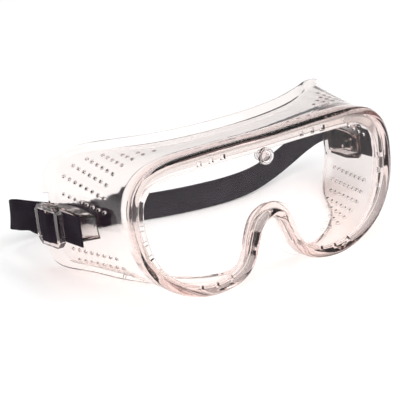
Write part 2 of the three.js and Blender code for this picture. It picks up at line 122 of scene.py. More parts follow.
floor_mesh = bpy.data.meshes.new("table_top")
reach = 4
floor_level = -0.0001
floor_mesh.from_pydata(
    [(-reach, -reach, floor_level), (reach, -reach, floor_level), (reach, reach, floor_level),
     (-reach, reach, floor_level)],
    [], [(0, 1, 2, 3)],
)
floor = bpy.data.objects.new("table_top", floor_mesh)
scene.collection.objects.link(floor)
table_paint = bpy.data.materials.new("white_table")
table_paint.use_nodes = True
paint = table_paint.node_tree.nodes["Principled BSDF"]
paint.inputs["Base Color"].default_value = (0.93, 0.93, 0.93, 1)
paint.inputs["Roughness"].default_value = 0.7
paint.inputs["Specular IOR Level"].default_value = 0.1
floor_mesh.materials.append(table_paint)


# ---------------------------------------------------------------------------------------------
# Frame body: one soft clear PVC moulding, with a beaded rim that grips the lens in a groove, a
# thin vented wall and an out-turned flange that seals on the face. All its corners are rounded.
# ---------------------------------------------------------------------------------------------
rim_width = 160
rim_height = 74.3
temple_depth = 73
cheek_depth = 15
temple_spread = 12.8
flange_rise = 12
lens_bend_radius = 1000
rest_pitch = math.radians(12.5)

rim_band = 9
bead_width = 4.4
bead_height = 1.9
rim_side_depth = 9.4
lip_front = 2.2
lens_thickness = 2
lens_clearance = 0.3
lens_inset = 3.4
groove_front = 3.8
back_lip_depth = 2
back_lip_setback = 1.2

wall_thickness = 1.8
wall_inset = 0.4
flange_width = 4.2
flange_slope = 3.2
flange_thickness = 1.4

# Radii of the section's eased corners: where two faces meet, at the lip's edges, at a wall's foot
# inside, and where the wall turns into the flange.
corner_ease = 0.5
lip_ease = 0.4
foot_ease = 0.8
flange_ease = 1.5

lug_centre_height = 41.608
pivot_depth = 57.5

# Down one half of the rim, from the brow centre to the nose arch: outline x and z as shares of the
# half width and height, inward angle, band share, then the flange edge's spread, depth and rise.
stations = [
    (0, 0.996, -90, 1.02, 0, 0.347, 0.33),
    (0.25, 1, -90, 1.04, 0, 0.366, 0.31),
    (0.5, 1, -92, 1.08, 0.02, 0.459, 0.31),
    (0.712, 0.988, -101, 1.08, 0, 0.593, 0.41),
    (0.862, 0.94, -124, 1.05, 0.05, 0.743, 0.65),
    (0.955, 0.845, -147, 1, 0.42, 0.85, 1),
    (0.995, 0.727, -167, 0.95, 0.66, 0.931, 0.97),
    (1, 0.592, 180, 0.92, 0.78, 0.979, 0.5),
    (0.985, 0.458, 170, 0.9, 0.91, 1, 0.2),
    (0.949, 0.336, 158, 0.85, 1.06, 1, -0.05),
    (0.894, 0.233, 143, 0.8, 1.04, 0.965, -0.2),
    (0.819, 0.145, 130, 0.72, 0.66, 0.74, -0.02),
    (0.7, 0.062, 115, 0.66, 0.5, 0.41, 0.15),
    (0.537, 0.005, 98, 0.62, 0.25, 0.155, 0.2),
    (0.375, 0.007, 82, 0.64, 0.1, 0.026, 0.09),
    (0.241, 0.054, 58, 0.72, 0, 0, -0.15),
    (0.157, 0.152, 33, 0.82, -0.15, 0, -0.25),
    (0.112, 0.269, 24, 0.88, -0.2, 0, -0.4),
    (0.07, 0.367, 45, 0.88, -0.12, 0, -0.5),
    (0, 0.404, 90, 0.88, 0, 0, -0.55),
]
half_span = len(stations) - 1
rings_per_station = 8

pivot = Vector(frame["record"]["behaviour"]["joints"][0]["pos_m"])
tip = Matrix.Rotation(-rest_pitch, 3, "X")


def placed(point):
    """A point of the goggles' own upright frame, in millimetres, as it lies on the table, in metres."""
    from_pivot = Vector((point[0], point[1] - pivot_depth, point[2] - lug_centre_height))
    return pivot + tip @ from_pivot * 0.001


def station_value(pick, u, odd):
    """One value of the station table at u, on a smooth curve that is mirrored past both ends."""
    def at(i):
        folded = -i if i < 0 else 2 * half_span - i if i > half_span else i
        return (-1 if folded != i and odd else 1) * pick(stations[folded])
    i = min(int(u), half_span - 1)
    t = u - i
    a, b, c, d = at(i - 1), at(i), at(i + 1), at(i + 2)
    return b + 0.5 * t * (c - a + t * (2 * a - 5 * b + 4 * c - d + t * (3 * (b - c) + d - a)))


class Place:
    """One place round the rim: its outline point, inward direction, lip band and flange edge."""

    def __init__(self, u, side):
        x = rim_width / 2 * station_value(lambda s: s[0], u, True)
        self.x = side * x
        self.z = rim_height * station_value(lambda s: s[1], u, False)
        in_x = station_value(lambda s: math.cos(math.radians(s[2])), u, True)
        in_z = station_value(lambda s: math.sin(math.radians(s[2])), u, False)
        self.inward = Vector((side * in_x, 0, in_z)).normalized()
        self.band = rim_band * station_value(lambda s: s[3], u, False)
        spread = temple_spread * station_value(lambda s: s[4], u, True)
        depth = cheek_depth + (temple_depth - cheek_depth) * station_value(lambda s: s[5], u, False)
        rise = flange_rise * station_value(lambda s: s[6], u, False)
        self.edge = Vector((side * (x + spread), depth, self.z + rise))

    def rim(self, inset, depth):
        x = self.x + inset * self.inward.x
        bend = x * x / (2 * lens_bend_radius)
        return Vector((x, bend + depth, self.z + inset * self.inward.z))

    def flange(self, inset, depth):
        return self.edge + self.inward * inset + Vector((0, depth, 0))

    def wall(self, share):
        return self.rim(wall_inset, rim_side_depth).lerp(self.flange(flange_width, -flange_slope), share)


def rounded(corners):
    """A closed outline from (point, corner radius) pairs, with each corner eased by a short curve."""
    outline = []
    for i, (point, radius) in enumerate(corners):
        if not radius:
            outline.append(point)
            continue
        ends = []
        for other in (corners[i - 1][0], corners[(i + 1) % len(corners)][0]):
            side = other - point
            ends.append(point + side.normalized() * min(radius, 0.45 * side.length))
        for t in (0, 1 / 3, 2 / 3, 1):
            outline.append((1 - t) ** 2 * ends[0] + 2 * t * (1 - t) * point + t * t * ends[1])
    return outline


def frame_section(place):
    """The moulding's section: lip, bead, side, wall, flange, and back along the inside to the groove."""
    groove_back = groove_front + lens_thickness + 2 * lens_clearance
    groove_inset = lens_inset - lens_clearance
    slant = flange_thickness / math.hypot(flange_width, flange_slope)
    inner = place.inward * wall_thickness
    bead = []
    for degrees in range(15, 166, 25):
        turn = math.radians(degrees)
        inset = bead_width / 2 * (1 + math.cos(turn))
        bead.append((place.rim(inset, bead_height * (1 - math.sin(turn))), 0))
    corners = [
        (place.rim(place.band, lip_front), corner_ease),
        (place.rim(bead_width + 0.5, bead_height + 0.1), corner_ease),
        *bead,
        (place.rim(0, bead_height * 1.3), lip_ease),
        (place.rim(0, rim_side_depth - wall_inset), corner_ease),
        (place.wall(0), corner_ease),
        (place.wall(0.35), 0),
        (place.wall(0.7), 0),
        (place.wall(1), flange_ease),
        (place.flange(flange_width * 0.45, -flange_slope * 0.6), 0),
        (place.flange(0, 0), corner_ease),
        (place.flange(slant * flange_slope, slant * flange_width), corner_ease),
        (place.flange(flange_width * 0.6 + flange_thickness, -flange_slope * 0.45), 0),
        (place.wall(1) + inner, flange_ease),
        (place.wall(0.7) + inner, 0),
        (place.wall(0.35) + inner, 0),
        (place.wall(0) + inner, foot_ease),
        (place.rim(place.band - back_lip_setback, groove_back + back_lip_depth), corner_ease),
        (place.rim(place.band - back_lip_setback, groove_back), 0),
        (place.rim(groove_inset, groove_back), 0),
        (place.rim(groove_inset, groove_front), 0),
        (place.rim(place.band, groove_front), lip_ease),
    ]
    return rounded(corners)


def skinned(name, rings, closed):
    """A solid skinned over rings of points in millimetres, facing out. An open run gets flat ends."""
    size = len(rings[0])
    points = [placed(point) for ring in rings for point in ring]
    faces = []
    for i in range(len(rings) if closed else len(rings) - 1):
        here, after = i * size, (i + 1) % len(rings) * size
        for j in range(size):
            k = (j + 1) % size
            faces.append((here + j, here + k, after + k, after + j))
    if not closed:
        faces.append(tuple(reversed(range(size))))
        faces.append(tuple(range(len(points) - size, len(points))))
    mesh = bpy.data.meshes.new(name)
    mesh.from_pydata(points, [], faces)
    shape = bmesh.new()
    shape.from_mesh(mesh)
    if shape.calc_volume(signed=True) < 0:
        bmesh.ops.reverse_faces(shape, faces=shape.faces)
    shape.to_mesh(mesh)
    shape.free()
    piece = bpy.data.objects.new(name, mesh)
    scene.collection.objects.link(piece)
    return piece


def settled(piece):
    """Turns a piece's modifiers into its plain mesh."""
    bpy.context.view_layer.update()
    evaluated = piece.evaluated_get(bpy.context.evaluated_depsgraph_get())
    mesh = bpy.data.meshes.new_from_object(evaluated)
    piece.modifiers.clear()
    piece.data = mesh
    mesh.name = piece.name


def fused(piece, others, operation):
    """Joins other pieces to a piece, or cuts them out of it, and uses them up."""
    for other in others:
        cut = piece.modifiers.new(other.name, "BOOLEAN")
        cut.operation = operation
        cut.solver = "MANIFOLD"
        cut.object = other
    settled(piece)
    for other in others:
        bpy.data.objects.remove(other)


def eased(piece, width, segments):
    """Rounds a piece's sharp edges, as a mould does, to a radius in millimetres."""
    bevel = piece.modifiers.new("eased_edges", "BEVEL")
    bevel.width = width * 0.001
    bevel.segments = segments
    bevel.limit_method = "ANGLE"
    bevel.angle_limit = math.radians(35)
    settled(piece)


def painted(piece, material):
    """Gives a whole piece one material."""
    piece.data.materials.clear()
    piece.data.materials.append(material)
    piece.data.polygons.foreach_set("material_index", [0] * len(piece.data.polygons))


def smoothed(piece, degrees):
    """Shades a piece smooth, apart from edges sharper than an angle."""
    piece.data.shade_smooth()
    piece.data.set_sharp_from_angle(angle=math.radians(degrees))


def turned(name, profile, centre, side):
    """A lathed piece from (radius, along) points, about an axis through a centre: out of the side
    for a side of -1 or 1, and straight back for a side of 0."""
    sides = 40
    rings = []
    for radius, along in profile:
        ring = []
        for i in range(sides):
            turn = 2 * math.pi * i / sides
            a, b = radius * math.cos(turn), radius * math.sin(turn)
            offset = Vector((side * along, side * a, b)) if side else Vector((-a, along, b))
            ring.append(centre + offset)
        rings.append(ring)
    return skinned(name, rings, False)


places = [Place(i / rings_per_station, 1) for i in range(half_span * rings_per_station)]
places += [Place(i / rings_per_station, -1) for i in range(half_span * rings_per_station, 0, -1)]
frame_body = skinned("clear_frame_body", [frame_section(place) for place in places], True)

# The flange is left out behind each lug, where the strap passes.
lug_height = 16.5
lug_face_out = 90.8
lug_plate_thickness = 2.6
lug_rear_depth = 68.5
flange_gap_reach = 4
flange_gap_length = 8
flange_gap_below = 3.3
strap_swing_room = 5.3
strap_width = 15.5


def boxed(name, low, high):
    """A plain block between two corners, used only to cut with."""
    rings = []
    for z in (low[2], high[2]):
        corners = ((low[0], low[1]), (high[0], low[1]), (high[0], high[1]), (low[0], high[1]))
        rings.append([Vector((x, y, z)) for x, y in corners])
    return skinned(name, rings, False)


gaps = []
for side in (-1, 1):
    near, far = sorted((side * (lug_face_out - flange_gap_reach), side * (lug_face_out + temple_spread)))
    bottom = lug_centre_height - strap_width / 2 - flange_gap_below
    top = lug_centre_height + strap_width / 2 + strap_swing_room
    gap_front = lug_rear_depth - flange_gap_length
    gaps.append(boxed("flange_gap", (near, gap_front, bottom), (far, temple_depth + flange_width, top)))
fused(frame_body, gaps, "DIFFERENCE")

# Each lug is a strip that lifts off the wing on two ribs, widens as it goes back, runs level past
# the pivot and carries a headed button that the buckle snaps over.
lug_front_depth = 33
lug_knee_depth = 46
lug_front_height = 12
lug_root_thickness = 0.9
lug_rib_thickness = 1.8
button_radius = 2.5
button_head_radius = 3.3
button_head_thickness = 0.9
buckle_standoff = 2.4
middle_bar_thickness = 1.7
pivot_clearance = 0.35
lug_steps = 12
lug_tip_sink = 0.4
lug_rib_sink = 0.8
lug_rib_root = 1
lug_rib_setback = 3
lug_rib_foot_setback = 6
button_undercut = 0.2
button_ease = 0.3

lug_u = 0
while Place(lug_u, 1).edge.z > lug_centre_height + lug_rib_thickness or lug_u < half_span / 4:
    lug_u += 0.05


def wing_out(depth):
    """How far out from the middle the wing's outer face is, level with the lug, at a depth."""
    start, end = Place(lug_u, 1).wall(0), Place(lug_u, 1).wall(1)
    return start.lerp(end, (depth - start.y) / (end.y - start.y)).x


def on_the_lug(side):
    """The middle of a lug's outer face, which the headband turns about."""
    return Vector((side * lug_face_out, pivot_depth, lug_centre_height))


def bar(name, ends):
    """A bar with eased corners, skinned over rectangles: (depth, inner x, outer x, low z, high z)."""
    rings = []
    for depth, inner, outer, low, high in ends:
        corners = ((inner, low), (outer, low), (outer, high), (inner, high))
        ease = min(0.5, 0.3 * min(abs(outer - inner), high - low))
        rings.append(rounded([(Vector((x, depth, z)), ease) for x, z in corners]))
    return skinned(name, rings, False)


def lug_parts(side):
    """One lug's strip, its two ribs and its button, to be joined to the moulding."""
    strip, low_rib, high_rib = [], [], []
    tip_face = wing_out(lug_front_depth) - lug_tip_sink
    for step in range(lug_steps + 1):
        depth = lug_front_depth + (lug_rear_depth - lug_front_depth) * step / lug_steps
        share = min(1, (depth - lug_front_depth) / (lug_knee_depth - lug_front_depth))
        eased_share = share * (2 - share)
        face = tip_face + (lug_face_out - tip_face) * eased_share
        half = (lug_front_height + share * (lug_height - lug_front_height)) / 2
        low, high = lug_centre_height - half, lug_centre_height + half
        thickness = lug_root_thickness + (lug_plate_thickness - lug_root_thickness) * share
        strip.append((depth, side * (face - thickness), side * face, low, high))
        if depth < lug_rear_depth - lug_rib_setback:
            foot_depth = min(depth, lug_rear_depth - lug_rib_foot_setback)
            foot = side * (wing_out(foot_depth) - lug_rib_root)
            top = side * (face - lug_rib_sink)
            low_rib.append((depth, foot, top, low, low + lug_rib_thickness))
            high_rib.append((depth, foot, top, high - lug_rib_thickness, high))
    head = buckle_standoff + middle_bar_thickness + pivot_clearance
    button = [
        (button_radius, -lug_plate_thickness / 2),
        (button_radius, head),
        (button_head_radius - button_undercut, head),
        (button_head_radius, head + button_ease),
        (button_head_radius - button_ease, head + button_head_thickness * 0.7),
        (button_head_radius * 0.6, head + button_head_thickness),
    ]
    made = [bar("lug_part", shape) for shape in (strip, low_rib, high_rib)]
    made.append(turned("lug_button", button, on_the_lug(side), side))
    return made


for side in (-1, 1):
    fused(frame_body, lug_parts(side), "UNION")

# Vent holes: rows that run back from the rim, one hole pitch apart. Each hole has a low moulded
# collar. Short windows in the front lip show where the mould's lens-groove cores were held.
vent_sides = 14
vent_radius = 0.85
vent_collar_radius = 1.35
vent_collar_height = 0.15
vent_pitch = 4.7
vent_start = 14
vent_row_pitch = 6.55
vent_rows = {49.5: (1, 2, 3, 5, 6, 7, 8, 8), 119: (8, 8, 7, 6, 5, 3, 2, 1)}
window_width = 2.4
window_share = 0.55
window_arcs = (24, 31, 38, 100, 109, 118, 158, 168, 178)

arc_steps = half_span * 20
arc_lengths = [0]
for i in range(1, arc_steps + 1):
    a, b = Place((i - 1) * half_span / arc_steps, 1), Place(i * half_span / arc_steps, 1)
    arc_lengths.append(arc_lengths[-1] + math.hypot(b.x - a.x, b.z - a.z))


def u_at_arc(arc):
    """The station value at a length along the half rim from the brow centre."""
    i = next(i for i, length in enumerate(arc_lengths) if length >= arc)
    share = (arc - arc_lengths[i - 1]) / (arc_lengths[i] - arc_lengths[i - 1])
    return (i - 1 + share) * half_span / arc_steps


def vent_spots(side):
    """Each vent hole's centre on the wall, with the direction square to the wall."""
    spots = []
    for first_arc, counts in vent_rows.items():
        for row, count in enumerate(counts):
            u = u_at_arc(first_arc + row * vent_row_pitch)
            place = Place(u, side)
            start, end = place.wall(0), place.wall(1)
            beside = Place(u + 0.05, side).wall(0.5) - Place(u - 0.05, side).wall(0.5)
            outwards = (end - start).cross(beside).normalized()
            if outwards.dot(place.inward) > 0:
                outwards.negate()
            for i in range(count):
                share = (vent_start + i * vent_pitch) / (end - start).length
                spots.append((place.wall(share), outwards, Vector((0, 1, 0))))
    return spots


def window_spots(side):
    """Each lip window's centre, with the inward direction and the depth direction."""
    spots = []
    for arc in window_arcs:
        place = Place(u_at_arc(arc), side)
        middle = place.rim((place.band + bead_width) / 2, groove_front / 2 + lens_clearance)
        spots.append((middle, place.inward, Vector((0, 1, 0))))
    return spots


def spot_cloud(name, spots):
    """Loose points that carry the two directions of what stands on them."""
    mesh = bpy.data.meshes.new(name)
    mesh.from_pydata([placed(spot[0]) for spot in spots], [], [])
    for k, label in ((1, "along"), (2, "facing")):
        layer = mesh.attributes.new(label, "FLOAT_VECTOR", "POINT")
        for i, spot in enumerate(spots):
            layer.data[i].vector = tip @ spot[k]
    cloud = bpy.data.objects.new(name, mesh)
    scene.collection.objects.link(cloud)
    return cloud


def fed(tree, socket, value):
    """Links a node's input to another node's output, or gives it a plain value."""
    if isinstance(value, bpy.types.NodeSocket):
        tree.links.new(value, socket)
    else:
        socket.default_value = value


class Tree:
    """A Geometry Nodes tree with named inputs, built node by node."""

    def __init__(self, name, inputs):
        self.group = bpy.data.node_groups.new(name, "GeometryNodeTree")
        face = self.group.interface
        self.sockets = {}
        for label, kind in (("Geometry", "NodeSocketGeometry"), *inputs):
            self.sockets[label] = face.new_socket(label, in_out="INPUT", socket_type=kind).identifier
        face.new_socket("Geometry", in_out="OUTPUT", socket_type="NodeSocketGeometry")
        self.start = self.group.nodes.new("NodeGroupInput")
        self.end = self.group.nodes.new("NodeGroupOutput")

    def add(self, kind, **links):
        """A node of a kind, with its properties set and its inputs linked or given values."""
        node = self.group.nodes.new(kind)
        for label, value in links.pop("set", {}).items():
            setattr(node, label, value)
        for label, value in links.items():
            fed(self.group, node.inputs[label.replace("_", " ")], value)
        return node

    def finish(self, geometry, material):
        """Ends the tree with a plain mesh in one material."""
        plain = self.add("GeometryNodeRealizeInstances", Geometry=geometry)
        coated = self.add("GeometryNodeSetMaterial", Geometry=plain.outputs["Geometry"],
                          Material=material)
        self.group.links.new(coated.outputs["Geometry"], self.end.inputs[0])

    def run(self, piece, values):
        """Runs the tree on a piece and keeps the result as its plain mesh."""
        work = piece.modifiers.new(self.group.name, "NODES")
        work.node_group = self.group
        for label, value in values.items():
            work[self.sockets[label]] = value
        settled(piece)


def stood_on(tree, cloud, shape):
    """Nodes that stand a copy of a shape on each point of a cloud, turned to its two directions."""
    info = tree.add("GeometryNodeObjectInfo", Object=cloud)
    points = tree.add("GeometryNodeMeshToPoints", Mesh=info.outputs["Geometry"])
    turn = None
    for label, axis, hinge in (("along", "Z", "AUTO"), ("facing", "Y", "Z")):
        named = tree.add("GeometryNodeInputNamedAttribute", set={"data_type": "FLOAT_VECTOR"},
                         Name=label)
        aim = tree.add("FunctionNodeAlignRotationToVector", set={"axis": axis, "pivot_axis": hinge},
                       Vector=named.outputs["Attribute"])
        if turn:
            tree.group.links.new(turn, aim.inputs["Rotation"])
        turn = aim.outputs["Rotation"]
    copies = tree.add("GeometryNodeInstanceOnPoints", Points=points.outputs["Points"], Instance=shape)
    tree.group.links.new(turn, copies.inputs["Rotation"])
    real = tree.add("GeometryNodeRealizeInstances", Geometry=copies.outputs["Instances"])
    return real.outputs["Geometry"]


def combined(tree, operation, first, second):
    """A boolean of two geometries: UNION or DIFFERENCE."""
    node = tree.group.nodes.new("GeometryNodeMeshBoolean")
    node.operation = operation
    node.solver = "MANIFOLD"
    if operation == "UNION":
        tree.group.links.new(second, node.inputs["Mesh 2"])
        tree.group.links.new(first, node.inputs["Mesh 2"])
    else:
        tree.group.links.new(first, node.inputs["Mesh 1"])
        tree.group.links.new(second, node.inputs["Mesh 2"])
    return node.outputs["Mesh"]


def drilled_tree():
    """Collars joined to a wall, then holes drilled through both."""
    tree = Tree("vented_wall", (
        ("Spots", "NodeSocketObject"),
        ("Hole radius", "NodeSocketFloat"), ("Hole length", "NodeSocketFloat"),
        ("Collar radius", "NodeSocketFloat"), ("Collar height", "NodeSocketFloat"),
        ("Material", "NodeSocketMaterial"),
    ))
    given = tree.start.outputs
    collar = tree.add("GeometryNodeMeshCylinder", Vertices=vent_sides, Radius=given["Collar radius"],
                      Depth=given["Collar height"])
    hole = tree.add("GeometryNodeMeshCylinder", Vertices=vent_sides, Radius=given["Hole radius"],
                    Depth=given["Hole length"])
    collars = stood_on(tree, given["Spots"], collar.outputs["Mesh"])
    holes = stood_on(tree, given["Spots"], hole.outputs["Mesh"])
    raised = combined(tree, "UNION", given["Geometry"], collars)
    tree.finish(combined(tree, "DIFFERENCE", raised, holes), given["Material"])
    return tree


def windowed_tree():
    """Small rectangular windows cut into a lip."""
    tree = Tree("windowed_lip", (
        ("Spots", "NodeSocketObject"), ("Size", "NodeSocketVector"), ("Material", "NodeSocketMaterial"),
    ))
    given = tree.start.outputs
    window = tree.add("GeometryNodeMeshCube", Size=given["Size"])
    windows = stood_on(tree, given["Spots"], window.outputs["Mesh"])
    tree.finish(combined(tree, "DIFFERENCE", given["Geometry"], windows), given["Material"])
    return tree


def shade_node(tree, kind, **values):
    """A shader node with its inputs linked or given values. An underscore in a label is a space."""
    node = tree.nodes.new(kind)
    for label, value in values.items():
        fed(tree, node.inputs[label.replace("_", " ")], value)
    return node


def math_node(tree, operation, *values):
    """The result of a sum on sockets or plain numbers."""
    node = tree.nodes.new("ShaderNodeMath")
    node.operation = operation
    for socket, value in zip(node.inputs, values):
        fed(tree, socket, value)
    return node.outputs[0]


def clear_plastic(name, tint, refraction, roughness, ripple, body_tint, depth_tint):
    """A see-through plastic: clear on its faces, tinted where the light runs through its depth."""
    material = bpy.data.materials.new(name)
    material.use_nodes = True
    tree = material.node_tree
    shine = tree.nodes["Principled BSDF"]
    shine.inputs["Base Color"].default_value = (*tint, 1)
    shine.inputs["IOR"].default_value = refraction
    shine.inputs["Transmission Weight"].default_value = 1
    where = shade_node(tree, "ShaderNodeTexCoord")
    cloud = shade_node(tree, "ShaderNodeTexNoise", Vector=where.outputs["Object"], Scale=60.0,
                       Detail=3.0)
    wear = shade_node(tree, "ShaderNodeMapRange", Value=cloud.outputs[0], From_Min=0.35, From_Max=0.7,
                      To_Min=roughness * 0.6, To_Max=roughness * 1.6)
    tree.links.new(wear.outputs[0], shine.inputs["Roughness"])
    flow = shade_node(tree, "ShaderNodeTexNoise", Vector=where.outputs["Object"], Scale=220.0,
                      Detail=1.0)
    bump = shade_node(tree, "ShaderNodeBump", Strength=ripple, Distance=0.0002, Height=flow.outputs[0])
    tree.links.new(bump.outputs[0], shine.inputs["Normal"])
    ghost = shade_node(tree, "ShaderNodeBsdfTransparent", Color=(*body_tint, 1))
    path = shade_node(tree, "ShaderNodeLightPath")
    mix = shade_node(tree, "ShaderNodeMixShader", Fac=path.outputs["Is Shadow Ray"])
    tree.links.new(shine.outputs[0], mix.inputs[1])
    tree.links.new(ghost.outputs[0], mix.inputs[2])
    end = tree.nodes["Material Output"]
    tree.links.new(mix.outputs[0], end.inputs["Surface"])
    if depth_tint:
        colour, density = depth_tint
        soak = shade_node(tree, "ShaderNodeVolumeAbsorption", Color=(*colour, 1), Density=density)
        tree.links.new(soak.outputs[0], end.inputs["Volume"])
    return material


soft_pvc = clear_plastic(
    "clear_soft_pvc", (0.995, 0.962, 0.945), 1.45, 0.05, 0.2, (0.96, 0.935, 0.925),
    ((0.74, 0.34, 0.27), 30),
)
drilled_tree().run(frame_body, {
    "Spots": spot_cloud("vent_spots", vent_spots(-1) + vent_spots(1)),
    "Hole radius": vent_radius * 0.001,
    "Hole length": 0.001 * 4 * wall_thickness,
    "Collar radius": vent_collar_radius * 0.001,
    "Collar height": 0.001 * 2 * vent_collar_height,
    "Material": soft_pvc,
})
windowed_tree().run(frame_body, {
    "Spots": spot_cloud("window_spots", window_spots(-1) + window_spots(1)),
    "Size": (window_width * 0.001, 0.001 * groove_front, 0.001 * window_share * (rim_band - bead_width)),
    "Material": soft_pvc,
})
for name in ("vent_spots", "window_spots"):
    bpy.data.objects.remove(bpy.data.objects[name])
painted(frame_body, soft_pvc)
smoothed(frame_body, 40)
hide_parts("frame_body")
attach(frame_body, "goggles")


# ---------------------------------------------------------------------------------------------
# Lens: one pane of clear polycarbonate, cut to the rim's shape, sprung to its slight bend and
# pushed into the groove. A hole near its top edge takes the brow stud.
# ---------------------------------------------------------------------------------------------
stud_drop = 11.8
stud_shaft_radius = 2.2
stud_height = stations[0][1] * rim_height - stud_drop
lens_front = groove_front + lens_clearance
lens_back = lens_front + lens_thickness

outline = [place.rim(lens_inset, 0) for place in places]
blank_faces = (-rim_band, 3 * rim_band)
blank = skinned("lens_blank", [[Vector((p.x, y, p.z)) for p in outline] for y in blank_faces], False)
sheet_steps = 160
sheet_rings = []
for step in range(sheet_steps + 1):
    x = rim_width / 2 * (2 * step / sheet_steps - 1)
    bend = x * x / (2 * lens_bend_radius)
    corners = ((bend + lens_front, -rim_band), (bend + lens_back, -rim_band),
               (bend + lens_back, rim_height + rim_band), (bend + lens_front, rim_height + rim_band))
    sheet_rings.append([Vector((x, y, z)) for y, z in corners])
lens = skinned("polycarbonate_lens", sheet_rings, False)
fused(lens, [blank], "INTERSECT")
hole_ends = (-4 * lens_thickness, 4 * lens_thickness)
hole_profile = [(stud_shaft_radius + lens_clearance, end) for end in hole_ends]
fused(lens, [turned("stud_hole", hole_profile, Vector((0, lens_front, stud_height)), 0)], "DIFFERENCE")
clear_lens = clear_plastic("clear_polycarbonate", (1, 1, 1), 1.3, 0.01, 0.02, (0.97, 0.97, 0.97), None)
painted(lens, clear_lens)
smoothed(lens, 30)
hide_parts("lens")
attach(lens, "goggles")


# ---------------------------------------------------------------------------------------------
# Brow stud: a clear push-in stud with a dimpled round head in front of the lip and a foot behind
# the lens, which keeps the lens from springing out at the brow. Turned and polished.
# ---------------------------------------------------------------------------------------------
stud_head_radius = 4.4
stud_head_thickness = 2.1
stud_dimple_radius = 2.6
stud_dimple_depth = 0.8
stud_foot_radius = 3
stud_foot_thickness = 1
stud_core_radius = 0.05
stud_ease = 0.3

head_back = lip_front - lens_clearance
head_front = head_back - stud_head_thickness
foot_front = lens_back + lens_clearance
dimple_floor = head_front + stud_dimple_depth
stud_profile = [(stud_core_radius, dimple_floor), (stud_dimple_radius - stud_ease, dimple_floor)]
ridge = (stud_head_radius - stud_dimple_radius) / 2
for step in range(7):
    turn = math.pi * step / 6
    stud_profile.append((
        (stud_head_radius + stud_dimple_radius) / 2 - ridge * math.cos(turn),
        head_front + stud_dimple_depth * (1 - math.sin(turn)),
    ))
stud_profile += [
    (stud_head_radius, head_back - stud_ease),
    (stud_head_radius - stud_ease, head_back),
    (stud_shaft_radius, head_back),
    (stud_shaft_radius, foot_front),
    (stud_foot_radius, foot_front),
    (stud_foot_radius, foot_front + stud_foot_thickness - stud_ease),
    (stud_foot_radius - stud_ease, foot_front + stud_foot_thickness),
    (stud_core_radius, foot_front + stud_foot_thickness),
]
stud = turned("clear_brow_stud", stud_profile, Vector((0, 0, stud_height)), 0)
painted(stud, clear_plastic(
    "clear_stud_plastic", (1, 0.985, 0.98), 1.49, 0.03, 0.05, (0.95, 0.93, 0.92),
    ((0.62, 0.35, 0.3), 60),
))
smoothed(stud, 40)
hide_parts("brow_stud")
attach(stud, "goggles")


# ---------------------------------------------------------------------------------------------
# Buckles: two clear hard plastic rings with chamfered corners. The strap threads each one over a
# low middle bar, whose round eye snaps over the lug's button and lets the buckle turn.
# ---------------------------------------------------------------------------------------------
strap_thickness = 1.3
strap_clearance = 0.35
buckle_thickness = 3.4
end_bar_length = 3
middle_bar_length = 7.6
slot_length = 4.2
side_bar_height = 2.3
buckle_chamfer = 3.2
cut_reach = 9
cut_overlap = 0.1

half_slot = strap_width / 2 + strap_clearance
buckle_half_height = half_slot + side_bar_height
buckle_half_length = middle_bar_length / 2 + slot_length + end_bar_length
buckle_plastic = clear_plastic(
    "clear_buckle_plastic", (1, 0.98, 0.975), 1.49, 0.06, 0.2, (0.93, 0.9, 0.89),
    ((0.6, 0.35, 0.32), 60),
)


def buckle_block(side, low, high, half_length_from, half_length_to, half_height):
    """A block about the pivot, from one distance out from the lug face to another."""
    a, b = sorted((side * (lug_face_out + low), side * (lug_face_out + high)))
    return boxed("buckle_cut", (a, pivot_depth + half_length_from, lug_centre_height - half_height),
                 (b, pivot_depth + half_length_to, lug_centre_height + half_height))


buckles = (("clear_right_buckle", "right_buckle", -1), ("clear_left_buckle", "left_buckle", 1))
for name, node, side in buckles:
    length, height, cut = buckle_half_length, buckle_half_height, buckle_chamfer
    ring = [
        (-length + cut, -height), (length - cut, -height),
        (length, -height + cut), (length, height - cut),
        (length - cut, height), (-length + cut, height),
        (-length, height - cut), (-length, -height + cut),
    ]
    faces = (lug_face_out + buckle_standoff, lug_face_out + buckle_standoff + buckle_thickness)
    buckle = skinned(name, [
        [Vector((side * x, pivot_depth + y, lug_centre_height + z)) for y, z in ring] for x in faces
    ], False)
    slot_from, slot_to = middle_bar_length / 2, middle_bar_length / 2 + slot_length
    over = buckle_standoff + middle_bar_thickness
    cuts = [
        buckle_block(side, 0, cut_reach, slot_from, slot_to, half_slot),
        buckle_block(side, 0, cut_reach, -slot_to, -slot_from, half_slot),
        buckle_block(side, over, cut_reach, -slot_from - cut_overlap, slot_from + cut_overlap,
                     half_slot),
    ]
    eye_profile = [(button_radius + pivot_clearance, end) for end in (-6, cut_reach)]
    cuts.append(turned("eye", eye_profile, on_the_lug(side), side))
    fused(buckle, cuts, "DIFFERENCE")
    eased(buckle, 0.45, 3)
    painted(buckle, buckle_plastic)
    smoothed(buckle, 35)
    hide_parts(node)
    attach(buckle, "headband")


# ---------------------------------------------------------------------------------------------
# Strap: one band of black woven elastic, with rubber cords that raise fine lengthwise ribs. It
# threads both buckles, leaves a short tail in front of each, and lies in a loop on the table.
# ---------------------------------------------------------------------------------------------
tail_length = 14
rib_count = 13
rib_height = 0.13
edge_sharpness = 30
steps_per_point = 12
slot_share = 0.56
bar_edge_share = 0.96
lead_in_length = 3.4
lead_in_out = 2

under_bar = buckle_standoff / 2
over_bar_out = (buckle_standoff + middle_bar_thickness + 2 * pivot_clearance + button_head_thickness
                + strap_thickness)
slot_middle = (middle_bar_length + slot_length) / 2
